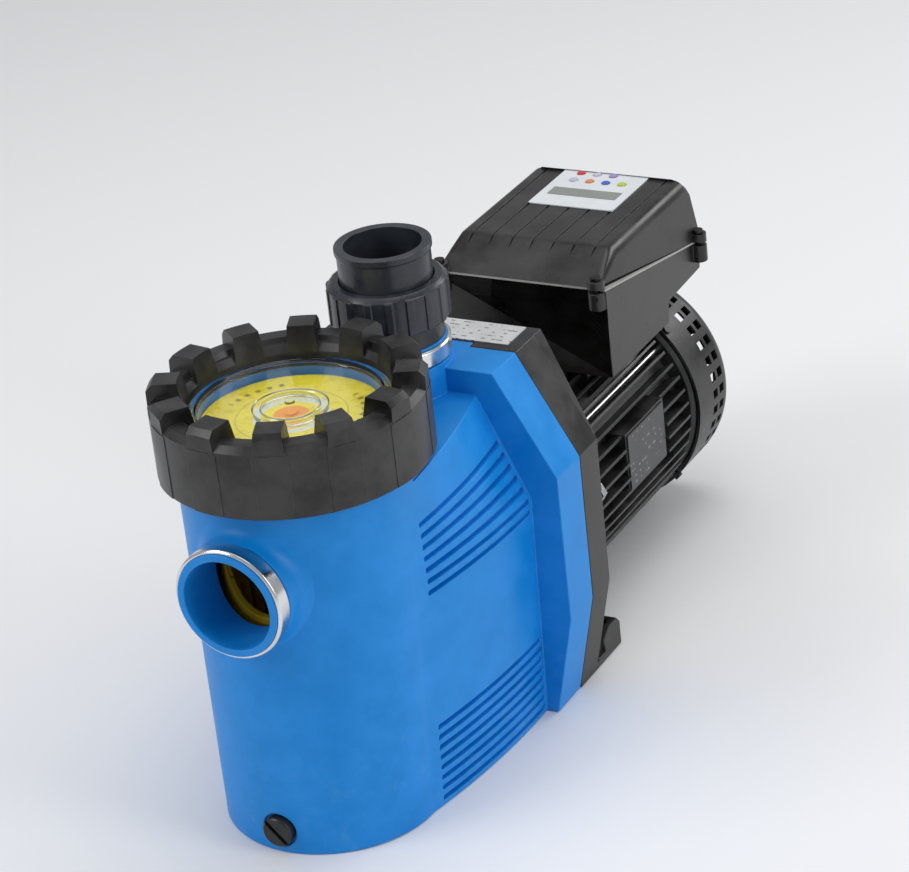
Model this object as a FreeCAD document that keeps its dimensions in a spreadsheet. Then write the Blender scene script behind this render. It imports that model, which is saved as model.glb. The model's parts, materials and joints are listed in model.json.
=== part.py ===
import FreeCAD, Part
import math
import os
import Sketcher
from FreeCAD import Placement, Rotation, Vector

# Pool circulation pump with a strainer, built as separate pieces.
# Millimetres, +Z up, +Y from the suction socket towards the motor, floor at z = 0.
# Every piece is drawn about the strainer's upright axis (x = 0, y = 0) or about its own
# axis, and its placement then moves it so that the origin lies under the middle of the pump.

DIMENSIONS = {
    # overall places along the pump, measured from the strainer's axis
    "suctionFace": 98, "suctionAxis": 187.5, "flangeFront": 126.5, "flangeRear": 159.7,
    "bracketRear": 186, "motorFront": 197, "frameFront": 212, "frameRear": 398,
    "fanRear": 457, "shaftAxis": 90.6, "dischargeAxis": 129.3,
    # blue housing
    "columnLow": 71.5, "columnHigh": 75, "columnLean": 6.5, "sideLow": 85.5, "sideMiddle": 89.5,
    "sideTop": 57, "kneeLevel": 160, "roofLevel": 229, "sideBulge": 560, "neckTop": 269,
    "flangeHalf": 110, "flangeFoot": 94, "flangeTopHalf": 70.5, "flangeTop": 246,
    "flangeKneeLow": 73, "flangeKneeHigh": 177, "chamberRadius": 62, "voluteRadius": 78,
    "volutePlane": 113, "socketRadius": 34.6, "threadRadius": 29.8, "bandRadius": 37,
    "bandWidth": 12, "dischargeTop": 264, "portRadius": 24, "grooveDepth": 2.6,
    "grooveTall": 3.4, "wall": 8, "saddleHalf": 37, "saddleRear": 166, "saddleBottom": 204,
    # strainer, lid and lock ring
    "ringRadius": 86, "ringBottom": 241, "ringShelf": 288.6, "lobeTop": 297.5,
    "ringBore": 80.3, "ringOpening": 64.5, "lidRadius": 75, "lidUnder": 270.4,
    "basketRadius": 57, "basketFloor": 24, "basketWall": 2.5, "ledge": 255.6,
    # drain plug
    "drainLevel": 15.5, "drainHead": 10.4, "drainShank": 7.9,
    # union on the discharge socket
    "nutBottom": 277, "nutTop": 305, "nutRadius": 39.5, "tailTop": 328, "tailRadius": 30.2,
    "pipeBore": 25.1,
    # impeller, shaft and seal
    "impellerRadius": 60, "eyeRadius": 22.5, "shaftFront": 7, "shaftSeat": 8.5,
    "shaftCore": 11,
    # motor
    "frameRadius": 66, "frameBore": 60, "finRadius": 79.5, "finThick": 2.2, "finCount": 48,
    "fanCoverRadius": 82.4, "coverWall": 1.8,
    # drive box
    "boxHalf": 66, "boxFront": 300, "boxRear": 455, "boxTop": 245.3, "seamFront": 226,
    "seamRear": 198, "boxWall": 2.6,
    # keypad
    "keyRadius": 3.1, "keyPitch": 12.7, "keyRowBack": 443.5, "keyRowFront": 430.7,
    "panelFront": 386, "panelRear": 449.5, "panelHalf": 33, "panelLevel": 246.3,
}


class Size(float):
    """A number that remembers the sheet formula it came from."""

    def __new__(cls, value, formula):
        made = float.__new__(cls, value)
        made.formula = formula
        return made

    def __add__(self, other):
        return Size(float(self) + float(other), f"({words(self)} + {words(other)})")

    def __radd__(self, other):
        return Size(float(other) + float(self), f"({words(other)} + {words(self)})")

    def __sub__(self, other):
        return Size(float(self) - float(other), f"({words(self)} - {words(other)})")

    def __rsub__(self, other):
        return Size(float(other) - float(self), f"({words(other)} - {words(self)})")

    def __mul__(self, other):
        return Size(float(self) * float(other), f"({words(self)} * {words(other)})")

    def __rmul__(self, other):
        return Size(float(other) * float(self), f"({words(other)} * {words(self)})")

    def __truediv__(self, other):
        return Size(float(self) / float(other), f"({words(self)} / {words(other)})")

    def __neg__(self):
        return Size(-float(self), f"(0 - {words(self)})")


def words(value):
    """The formula of a Size, or a plain number as text."""
    if isinstance(value, Size):
        return value.formula
    return format(float(value), ".6f")


class Sheet:
    """Reads the spreadsheet's cells as Sizes by their alias."""

    def __getattr__(self, alias):
        return Size(DIMENSIONS[alias], "Sizes." + alias)


doc = FreeCAD.newDocument("PoolPump")
sheet = doc.addObject("Spreadsheet::Sheet", "Sizes")
for row, (alias, number) in enumerate(DIMENSIONS.items(), start=1):
    sheet.set(f"A{row}", alias)
    sheet.set(f"B{row}", str(number))
    sheet.setAlias(f"B{row}", alias)
doc.recompute()

size = Sheet()
pieces = []

# Turns a piece that is drawn upright so that its own axis lies along the pump.
ALONG_PUMP = Rotation(Vector(1, 0, 0), -90)
UPRIGHT = Rotation()
MIDDLE = (size.fanRear - size.suctionFace) / 2


def bind(thing, path, value):
    """Set a property and tie it to the sheet when it is a Size."""
    if "." not in path and "[" not in path:
        setattr(thing, path, float(value))
    if isinstance(value, Size):
        thing.setExpression(path, value.formula)


def place(thing, x=0, y=0, z=0, turn=UPRIGHT):
    """Put a piece at its place on the pump, measured from the strainer's axis."""
    along = y - MIDDLE
    thing.Placement = Placement(Vector(float(x), float(along), float(z)), turn)
    bind(thing, "Placement.Base.x", x)
    bind(thing, "Placement.Base.y", along)
    bind(thing, "Placement.Base.z", z)
    pieces.append(thing)
    return thing


def new_body(name, x=0, y=0, z=0, turn=UPRIGHT):
    """An empty PartDesign body, already at its place."""
    made = doc.addObject("PartDesign::Body", name)
    made.Label = name
    made.AllowCompound = True
    return place(made, x, y, z, turn)


def origin_part(body, role):
    """The body's own origin plane or axis."""
    return next(part for part in body.Origin.OriginFeatures if part.Role == role)


def new_sketch(body, plane, offset=0):
    """An empty sketch on one of the body's origin planes, moved along its normal."""
    made = body.newObject("Sketcher::SketchObject", body.Name + "_sketch")
    made.AttachmentSupport = [(origin_part(body, plane + "_Plane"), "")]
    made.MapMode = "FlatFace"
    made.AttachmentOffset = Placement(Vector(0, 0, float(offset)), Rotation())
    bind(made, "AttachmentOffset.Base.z", offset)
    return made


def pin(sketch, shape, end, x, y):
    """Fix one point of a sketch at sheet distances from the sketch's origin."""
    for kind, value, axis in (("DistanceX", x, -2), ("DistanceY", y, -1)):
        if abs(float(value)) < 1e-9:
            sketch.addConstraint(Sketcher.Constraint("PointOnObject", shape, end, axis))
            continue
        if float(value) > 0:
            number = sketch.addConstraint(Sketcher.Constraint(kind, -1, 1, shape, end, float(value)))
            amount = value
        else:
            number = sketch.addConstraint(Sketcher.Constraint(kind, shape, end, -1, 1, -float(value)))
            amount = -value
        bind(sketch, f"Constraints[{number}]", amount)


def arc_between(start, stop, radius):
    """Arc of the given radius; a positive radius turns anticlockwise from start to stop."""
    middle = (start + stop) * 0.5
    chord = stop - start
    half = chord.Length / 2
    rise = math.sqrt(max(radius * radius - half * half, 0))
    side = Vector(-chord.y, chord.x, 0).normalize()
    centre = middle + side * (rise if radius > 0 else -rise)
    first, last = (start, stop) if radius > 0 else (stop, start)
    angles = [math.atan2(p.y - centre.y, p.x - centre.x) for p in (first, last)]
    if angles[1] <= angles[0]:
        angles[1] += 2 * math.pi
    return Part.ArcOfCircle(Part.Circle(centre, Vector(0, 0, 1), abs(radius)), *angles)


def outline(sketch, corners):
    """A closed chain through (x, y) corners; (x, y, radius) starts an arc to the next one."""
    count = len(corners)
    spots = [Vector(float(c[0]), float(c[1]), 0) for c in corners]
    begins = []
    shapes = []
    for index, corner in enumerate(corners):
        start, stop = spots[index], spots[(index + 1) % count]
        if len(corner) == 3:
            shapes.append(sketch.addGeometry(arc_between(start, stop, float(corner[2])), False))
            begins.append(1 if corner[2] > 0 else 2)
        else:
            shapes.append(sketch.addGeometry(Part.LineSegment(start, stop), False))
            begins.append(1)
    for index in range(count):
        after = (index + 1) % count
        join = Sketcher.Constraint("Coincident", shapes[index], 3 - begins[index],
                                   shapes[after], begins[after])
        sketch.addConstraint(join)
    for index, corner in enumerate(corners):
        pin(sketch, shapes[index], begins[index], corner[0], corner[1])
        if len(corner) == 3:
            radius = corner[2] if corner[2] > 0 else -corner[2]
            number = sketch.addConstraint(Sketcher.Constraint("Radius", shapes[index], float(radius)))
            bind(sketch, f"Constraints[{number}]", radius)
    return sketch


def circle(sketch, radius, x=0, y=0):
    """A circle whose centre and radius follow the sheet."""
    shape = sketch.addGeometry(Part.Circle(Vector(float(x), float(y), 0), Vector(0, 0, 1), float(radius)),
                               False)
    number = sketch.addConstraint(Sketcher.Constraint("Radius", shape, float(radius)))
    bind(sketch, f"Constraints[{number}]", radius)
    pin(sketch, shape, 3, x, y)
    return sketch


def feature(body, kind, sketch, **settings):
    """Add a PartDesign feature made from a sketch."""
    made = body.newObject("PartDesign::" + kind, body.Name + "_" + kind.lower())
    made.Profile = sketch
    for name, value in settings.items():
        if isinstance(value, (bool, str, tuple)):
            setattr(made, name, value)
        else:
            bind(made, name, value)
    doc.recompute()
    return made


def turned(body, corners, cut=False):
    """Spin an (outwards, upwards) outline about the body's upright axis."""
    sketch = outline(new_sketch(body, "XZ"), corners)
    kind = "Groove" if cut else "Revolution"
    return feature(body, kind, sketch, ReferenceAxis=(sketch, ["V_Axis"]), Angle=360)


def hoop(body, middle, thick, level=0):
    """A ring of round section, such as an O-ring or one turn of a spring."""
    sketch = circle(new_sketch(body, "XZ"), thick / 2, middle, level)
    return feature(body, "Revolution", sketch, ReferenceAxis=(sketch, ["V_Axis"]), Angle=360)


def tube(body, inner, outer, low, high):
    """A plain ring or bush: an upright tube spun about the body's axis."""
    return turned(body, [(inner, low), (outer, low), (outer, high), (inner, high)])


def block(low_x, high_x, low_y, high_y):
    """The four corners of a rectangle."""
    return [(low_x, low_y), (high_x, low_y), (high_x, high_y), (low_x, high_y)]


def hexagon(x, y, across_flats):
    """The six corners of a bolt head with the given width across flats."""
    reach = across_flats / math.sqrt(3)
    turns = [math.radians(60 * n) for n in range(6)]
    return [(x + reach * math.cos(turn), y + reach * math.sin(turn)) for turn in turns]


def patterned(body, originals, count):
    """Repeat features evenly about the body's upright axis."""
    made = body.newObject("PartDesign::PolarPattern", body.Name + "_pattern")
    made.Originals = originals
    made.Axis = (origin_part(body, "Z_Axis"), [""])
    made.Angle = 360
    made.Occurrences = int(count)
    body.Tip = made
    doc.recompute()
    return made


def mirrored(body, originals, plane="YZ_Plane"):
    """Repeat features on the other side of one of the body's planes."""
    made = body.newObject("PartDesign::Mirrored", body.Name + "_mirror")
    made.Originals = originals
    made.MirrorPlane = (origin_part(body, plane), [""])
    body.Tip = made
    doc.recompute()
    return made


def octagon(inset=0):
    """The flange's eight-sided outline, seen along the pump."""
    foot, wide, top = size.flangeFoot - inset, size.flangeHalf - inset, size.flangeTopHalf - inset
    right = [(foot, inset), (wide, size.flangeKneeLow), (wide, size.flangeKneeHigh),
             (top, size.flangeTop - inset)]
    return right + [(-x, z) for x, z in reversed(right)]


# --- blue housing -----------------------------------------------------------------------

def side_at(level):
    """Column radius, column centre and half width at the flange for a level of the housing."""
    if float(level) <= float(size.kneeLevel):
        share = level / size.kneeLevel
        radius = size.columnLow + (size.columnHigh - size.columnLow) * share
        wide = size.sideLow + (size.sideMiddle - size.sideLow) * share
        return radius, -size.columnLean * (1 - share), wide
    share = (level - size.kneeLevel) / (size.roofLevel - size.kneeLevel)
    return size.columnHigh, 0 * size.columnLean, size.sideMiddle + (size.sideTop - size.sideMiddle) * share


def housing_section(body, level, inset=0, rear=size.flangeFront):
    """Plan of the housing at one level: round in front, wide at the flange."""
    radius, centre, wide = side_at(level)
    radius, wide = radius - inset, wide - inset
    corners = [
        (wide, rear),
        (-wide, rear, size.sideBulge),
        (-radius, centre, radius),
        (0, centre - radius, radius),
        (radius, centre, size.sideBulge),
    ]
    return outline(new_sketch(body, "XY", level), corners)


def side_groove(body, level):
    """One of the horizontal grooves moulded into the housing's side."""
    radius, centre, wide = side_at(level)
    corners = [
        (radius - size.grooveDepth - 0.5, centre + 9, size.sideBulge),
        (wide - size.grooveDepth, size.flangeFront - 2),
        (wide + 20, size.flangeFront - 2),
        (radius + 20, centre + 9),
    ]
    sketch = outline(new_sketch(body, "XY", level), corners)
    return feature(body, "Pocket", sketch, Length=size.grooveTall, Reversed=False)


FLANGE_BOLTS = [(x * side, z) for side in (-1, 1) for x, z in ((58, 20), (98, 62), (98, 128), (52, 222))]


def make_housing():
    body = new_body("pump_housing")
    sections = [housing_section(body, level) for level in (0 * size.kneeLevel, size.kneeLevel,
                                                           size.roofLevel)]
    loft = body.newObject("PartDesign::AdditiveLoft", "housing_loft")
    loft.Profile = sections[0]
    loft.Sections = sections[1:]
    loft.Ruled = True
    doc.recompute()
    neck = [(0, 200), (size.columnHigh, 200), (size.columnHigh, size.ringBottom + 3)]
    neck += [(77.6, size.ringBottom + 6)]
    for level in (249, 256):
        neck += [(77.6, level), (79.8, level + 1.2), (79.8, level + 2.6), (77.6, level + 4)]
    neck += [(77.6, size.neckTop), (0, size.neckTop)]
    turned(body, neck)
    band = outline(new_sketch(body, "XZ", -size.flangeRear), octagon())
    feature(body, "Pad", band, Length=size.flangeRear - size.flangeFront)
    suction = circle(new_sketch(body, "XZ", size.suctionFace), size.socketRadius, 0, size.suctionAxis)
    feature(body, "Pad", suction, Length=50, Reversed=True)
    boss = circle(new_sketch(body, "XZ", size.suctionFace - 2 - size.bandWidth), size.bandRadius - 0.4, 0,
                  size.suctionAxis)
    feature(body, "Pad", boss, Length=40, Reversed=True)
    discharge = circle(new_sketch(body, "XY", size.dischargeTop), size.socketRadius, 0, size.dischargeAxis)
    feature(body, "Pad", discharge, Length=60, Reversed=True)
    collar = circle(new_sketch(body, "XY", size.dischargeTop - 2 - size.bandWidth), size.bandRadius - 0.4,
                    0, size.dischargeAxis)
    feature(body, "Pad", collar, Length=40, Reversed=True)
    # square back of the discharge socket, let into the bracket
    saddle = outline(new_sketch(body, "XY", size.flangeTop), block(-size.saddleHalf, size.saddleHalf,
                                                                  size.flangeFront, size.saddleRear))
    feature(body, "Pad", saddle, Length=size.flangeTop - size.saddleBottom, Reversed=True)
    # water space around and behind the basket, closed by a wall in front of the impeller
    hollows = [housing_section(body, level, size.wall, size.volutePlane - size.wall)
               for level in (size.wall + 2, size.kneeLevel, size.roofLevel - size.wall - 2)]
    hollow = body.newObject("PartDesign::SubtractiveLoft", "housing_hollow")
    hollow.Profile = hollows[0]
    hollow.Sections = hollows[1:]
    hollow.Ruled = True
    doc.recompute()
    # way in for the basket with the ledge that carries it, and the seal's groove in the neck
    turned(body, [(0, 60), (size.chamberRadius, 60), (size.chamberRadius, size.ledge), (66.5, size.ledge),
                  (66.5, 300), (0, 300)], cut=True)
    turned(body, block(69.5, 74.6, size.neckTop - 3.2, size.neckTop + 2), cut=True)
    # water way: suction thread, passage to the impeller, casing for the impeller, discharge
    bore = circle(new_sketch(body, "XZ", size.suctionFace), size.threadRadius, 0, size.suctionAxis)
    feature(body, "Pocket", bore, Length=50)
    passage = circle(new_sketch(body, "XZ", -size.volutePlane), size.portRadius, 0, size.shaftAxis)
    feature(body, "Pocket", passage, Length=size.wall + 4, Reversed=True)
    volute = circle(new_sketch(body, "XZ", -size.flangeRear), size.voluteRadius, 0, size.shaftAxis)
    feature(body, "Pocket", volute, Length=size.flangeRear - size.volutePlane, Reversed=True)
    outlet = circle(new_sketch(body, "XY", size.dischargeTop), size.portRadius, 0, size.dischargeAxis)
    feature(body, "Pocket", outlet, Length=120)
    thread = circle(new_sketch(body, "XY", size.dischargeTop), size.threadRadius, 0, size.dischargeAxis)
    feature(body, "Pocket", thread, Length=22)
    # drain hole with a seat for the plug's head
    seat = circle(new_sketch(body, "XZ", 85), 11.6, 0, size.drainLevel)
    feature(body, "Pocket", seat, Length=85 - 74.5)
    drain = circle(new_sketch(body, "XZ", 80), size.drainShank + 0.1, 0, size.drainLevel)
    feature(body, "Pocket", drain, Length=30)
    # bolt holes in the flange
    holes = new_sketch(body, "XZ", -size.flangeRear)
    for x, z in FLANGE_BOLTS:
        circle(holes, 4, x, z)
    feature(body, "Pocket", holes, Length=24, Reversed=True)
    upper = [side_groove(body, 153 + 7.9 * step) for step in range(7)]
    lower = [side_groove(body, 6.6 + 7.35 * step) for step in range(8)]
    mirrored(body, upper + lower)
    return body


def make_bands():
    wide = size.bandRadius
    for name, place_at in (("suction_ring", (0, -size.suctionFace + 1.5, size.suctionAxis, ALONG_PUMP)),
                           ("discharge_ring", (0, size.dischargeAxis, size.dischargeTop - 13.5, UPRIGHT))):
        body = new_body(name, *place_at)
        turned(body, [(size.socketRadius + 0.05, 0), (wide - 1.2, 0), (wide, 1.2),
                      (wide, size.bandWidth - 1.2),
                      (wide - 1.2, size.bandWidth), (size.socketRadius + 0.05, size.bandWidth)])


# --- strainer ----------------------------------------------------------------------------

def make_basket():
    body = new_body("strainer_basket")
    radius, wall, floor = size.basketRadius, size.basketWall, size.basketFloor
    top = size.ledge + 4
    turned(body, [(0, floor), (radius - 4, floor), (radius, floor + 4), (radius, size.ledge + 0.3),
                  (65.5, size.ledge + 0.3), (65.5, top), (radius - wall, top),
                  (radius - wall, floor + 4), (radius - 5, floor + wall), (0, floor + wall)])
    inlet = circle(new_sketch(body, "XZ", 70), 34, 0, size.suctionAxis)
    feature(body, "Pad", inlet, Length=20, Reversed=True)
    turned(body, [(0, floor + wall), (radius - 5, floor + wall), (radius - wall, floor + 4),
                  (radius - wall, top), (0, top)], cut=True)
    turned(body, block(59.3, 90, 0, size.ledge), cut=True)
    mouth = circle(new_sketch(body, "XZ", 70), 29, 0, size.suctionAxis)
    feature(body, "Pocket", mouth, Length=40)
    slots = []
    for low, high in ((34, 84), (92, 142), (228, 248)):
        slot = outline(new_sketch(body, "YZ", radius - 8), block(-1.6, 1.6, low, high))
        slots.append(feature(body, "Pocket", slot, Length=12, Reversed=True))
    patterned(body, slots, 36)
    holes = new_sketch(body, "XY", floor - 1)
    for count, reach in ((6, 14), (12, 28), (18, 42)):
        for step in range(count):
            angle = 2 * math.pi * step / count
            circle(holes, 3, reach * math.cos(angle), reach * math.sin(angle))
    feature(body, "Pocket", holes, Length=8, Reversed=True)
    grip = outline(new_sketch(body, "XZ", -4), [(-56, top), (-40, top + 4), (40, top + 4), (56, top),
                                                (56, top - 3.5),
                                                (38, top), (-38, top), (-56, top - 3.5)])
    feature(body, "Pad", grip, Length=8)
    return body


def make_lid():
    body = new_body("lid")
    under = size.lidUnder
    turned(body, [(0, under + 2.5), (57.5, under + 2.5), (57.5, under - 8), (61.5, under - 8),
                  (61.5, under),
                  (size.lidRadius, under), (size.lidRadius, under + 4.6), (63.8, under + 4.6),
                  (63.8, under + 6.4),
                  (61.8, under + 8), (59, under + 8), (57.5, under + 6.5), (0, under + 6.5)])
    turned(body, block(18.5, 23.5, under - 1.5, under + 4))
    turned(body, block(0, 3, under + 6, under + 8))
    disc = new_body("instruction_disc")
    turned(disc, [(0, under - 6), (57.2, under - 6), (57.2, under - 4.8), (17, under - 4.8),
                  (17, under - 3.6),
                  (4, under - 3.6), (4, under - 2), (0, under - 2)])
    seal = new_body("lid_seal")
    hoop(seal, 72, 4.2, size.neckTop - 1.05)


def make_lock_ring():
    # one lobe stands 22.5 degrees round from the +X side
    body = new_body("lock_ring", turn=Rotation(Vector(0, 0, 1), 22.5))
    outer, bore, bottom, shelf = size.ringRadius, size.ringBore, size.ringBottom, size.ringShelf
    under = size.lidUnder + 4.9
    turned(body, [(bore, bottom), (outer - 1.2, bottom), (outer, bottom + 1.2), (outer, shelf - 4),
                  (outer - 4, shelf),
                  (72, shelf), (70.5, shelf - 3.5), (67.5, shelf - 3.5), (size.ringOpening, shelf - 8),
                  (size.ringOpening, under), (bore, under)])
    lobe = outline(new_sketch(body, "YZ", 62), [(-10, shelf - 9), (10, shelf - 9), (8.6, size.lobeTop),
                                                (-8.6, size.lobeTop)])
    lobe_pad = feature(body, "Pad", lobe, Length=outer - 62.2)
    patterned(body, [lobe_pad], 12)
    turned(body, [(0, bottom - 5), (size.ringOpening, bottom - 5), (size.ringOpening, shelf - 5),
                  (67.5, size.lobeTop + 3),
                  (0, size.lobeTop + 3)], cut=True)
    turned(body, [(outer - 4, size.lobeTop + 0.5), (outer + 1, size.lobeTop - 5),
                  (outer + 1, size.lobeTop + 0.5)], cut=True)
    rib = outline(new_sketch(body, "XY", bottom + 1), block(outer - 2, outer + 0.8, -11, 11))
    rib_pad = feature(body, "Pad", rib, Length=shelf - bottom - 6)
    patterned(body, [rib_pad], 12)
    turned(body, block(outer + 0.5, outer + 6, bottom - 2, shelf + 20), cut=True)
    return body


def make_drain_plug():
    body = new_body("drain_plug", 0, -75.7, size.drainLevel, ALONG_PUMP)
    head = size.drainHead
    turned(body, [(0, -6), (head - 1.2, -6), (head, -4.8), (head, -0.1), (size.drainShank, -0.1),
                  (size.drainShank, 15),
                  (0, 15)])
    # the coin slot lies at a slant once the plug is tight
    slant = [(-9, -6.9), (-6.9, -9), (9, 6.9), (6.9, 9)]
    slot = outline(new_sketch(body, "XY", -3.2), slant)
    feature(body, "Pocket", slot, Length=6)
    seal = new_body("drain_plug_seal", 0, -74.5, size.drainLevel, ALONG_PUMP)
    turned(seal, [(8.05, -1.3), (10.2, -1.3), (10.2, -0.05), (8.05, -0.05)])


# --- pump end inside the housing ------------------------------------------------------------

def make_impeller():
    body = new_body("impeller", 0, size.volutePlane, size.shaftAxis, ALONG_PUMP)
    radius, eye = size.impellerRadius, size.eyeRadius
    turned(body, [(19, 0.4), (eye, 0.4), (eye, 8), (radius, 13), (radius, 15.5), (19, 10.5)])
    turned(body, [(size.shaftFront, 14), (12, 14), (14, 24.5), (radius, 24.5), (radius, 27.5),
                  (size.shaftFront, 27.5)])
    blade = outline(new_sketch(body, "XY", 12), [(17, 0, -62), (46, 36), (48, 34, 60), (19.5, -1.5)])
    blade_pad = feature(body, "Pad", blade, Length=14)
    patterned(body, [blade_pad], 6)
    nut = new_body("impeller_nut", 0, size.volutePlane, size.shaftAxis, ALONG_PUMP)
    turned(nut, [(4.05, 6.5), (9, 6.5), (9, 13.9), (4.05, 13.9)])


def make_casing_rings():
    wear = new_body("wear_ring", 0, size.volutePlane, size.shaftAxis, ALONG_PUMP)
    tube(wear, size.eyeRadius + 0.08, 30, 0.02, 4)
    guide = new_body("diffuser", 0, size.volutePlane, size.shaftAxis, ALONG_PUMP)
    tube(guide, 62, size.voluteRadius - 0.4, 27.8, 30.5)
    vane = outline(new_sketch(guide, "XY", 9), [(62, -3), (76, -9), (76, -5.5), (62, 0)])
    vane_pad = feature(guide, "Pad", vane, Length=20)
    patterned(guide, [vane_pad], 7)


def make_shaft_seal():
    axis = (size.shaftAxis, ALONG_PUMP)
    seat = new_body("seal_seat", 0, 150.2, *axis)
    turned(seat, [(9.2, 0), (16, 0), (16, 1.5), (17, 1.5), (17, 6), (9.2, 6)])
    face = new_body("seal_face", 0, 150.2, *axis)
    turned(face, [(size.shaftFront + 0.02, -3.1), (15, -3.1), (15, -1.5), (13.5, -1.5), (13.5, -0.05),
                  (size.shaftFront + 0.02, -0.05)])
    spring = new_body("seal_spring", 0, size.volutePlane + 27.5, *axis)
    for level in (1.1, 3.1, 5.1):
        hoop(spring, 11, 1.8, level)


# --- bracket and motor -----------------------------------------------------------------------

def make_bracket():
    body = new_body("motor_bracket")
    rear, front = size.bracketRear, size.flangeRear + 0.05
    plate = outline(new_sketch(body, "XZ", -rear), octagon())
    feature(body, "Pad", plate, Length=rear - front)
    hood = [(80, 56), (103, 84), (103, 174), (size.flangeTopHalf, size.flangeTop)]
    hood = outline(new_sketch(body, "XZ", -size.motorFront), hood + [(-x, z) for x, z in reversed(hood)])
    feature(body, "Pad", hood, Length=size.motorFront - rear + 4)
    spigot = circle(new_sketch(body, "XZ", -front - 1), size.voluteRadius - 0.3, 0, size.shaftAxis)
    feature(body, "Pad", spigot, Length=front + 1 - 150.4)
    ring = circle(new_sketch(body, "XZ", -size.motorFront), 84, 0, size.shaftAxis)
    feature(body, "Pad", ring, Length=8)
    foot = outline(new_sketch(body, "XY"), block(-95, 95, front, 223))
    feature(body, "Pad", foot, Length=6)
    for side in (-1, 1):
        rib = outline(new_sketch(body, "YZ", side * 89 + 3), [(front, 0), (200, 0), (200, 9),
                (rear - 2, 60), (front, 60)])
        feature(body, "Pad", rib, Length=6, Reversed=True)
        lug = outline(new_sketch(body, "YZ", side * 85 + 10), [(199, 6), (223, 6), (223, 17), (219, 21.5),
                (206, 21.5), (197, 15)])
        feature(body, "Pad", lug, Length=20, Reversed=True)
    # room for the back of the discharge socket
    notch = outline(new_sketch(body, "XY", size.flangeTop + 2), block(-size.saddleHalf - 0.3,
            size.saddleHalf + 0.3,
                                                                     front - 2, size.saddleRear + 0.3))
    feature(body, "Pocket", notch, Length=size.flangeTop + 2.3 - size.saddleBottom)
    # cavity towards the motor, seal bore and shaft bore
    cavity = circle(new_sketch(body, "XZ", -size.motorFront), 62, 0, size.shaftAxis)
    feature(body, "Pocket", cavity, Length=size.motorFront - 164, Reversed=True)
    seal_bore = circle(new_sketch(body, "XZ", -150.3), 17.05, 0, size.shaftAxis)
    feature(body, "Pocket", seal_bore, Length=6)
    shaft_bore = circle(new_sketch(body, "XZ", -150), 10, 0, size.shaftAxis)
    feature(body, "Pocket", shaft_bore, Length=20)
    groove = new_sketch(body, "XZ", -157.8)
    circle(groove, size.voluteRadius + 2, 0, size.shaftAxis)
    circle(groove, 74.2, 0, size.shaftAxis)
    feature(body, "Pocket", groove, Length=3.4, Reversed=True)
    holes = new_sketch(body, "XZ", -size.motorFront - 1)
    for x, z in FLANGE_BOLTS:
        circle(holes, 4.1, x, z)
    feature(body, "Pocket", holes, Length=60, Reversed=True)
    anchors = new_sketch(body, "XY", 30)
    for x in (-86, 86):
        circle(anchors, 4.5, x, 211)
    feature(body, "Pocket", anchors, Length=40)
    seal = new_body("casing_seal", 0, 156.1, size.shaftAxis, ALONG_PUMP)
    hoop(seal, 75.9, 3)


def make_flange_bolts():
    body = new_body("flange_bolts", 0, 0, 0)
    for x, z in FLANGE_BOLTS:
        head = size.motorFront if z > 100 else size.bracketRear
        shank = circle(new_sketch(body, "XZ", -head - 0.05), 3.95, x, z)
        feature(body, "Pad", shank, Length=head - 138)
        cap = outline(new_sketch(body, "XZ", -head - 5.3), hexagon(x, z, 13))
        feature(body, "Pad", cap, Length=5.25)


def make_shaft():
    body = new_body("motor_shaft", 0, 0, size.shaftAxis, ALONG_PUMP)
    front, seat, core = size.shaftFront, size.shaftSeat, size.shaftCore
    turned(body, [(0, 119.6), (4, 119.6), (4, 127), (front - 0.02, 127), (front - 0.02, 178),
                  (seat - 0.03, 178),
                  (seat - 0.03, 216), (core, 216), (core, 378), (seat - 0.03, 378), (seat - 0.03, 410),
                  (front, 410), (front, 434), (0, 434)])
    slinger = new_body("slinger", 0, 168, size.shaftAxis, ALONG_PUMP)
    turned(slinger, [(front, 0), (16, 0), (18, 4), (16, 5), (front, 5)])


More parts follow.
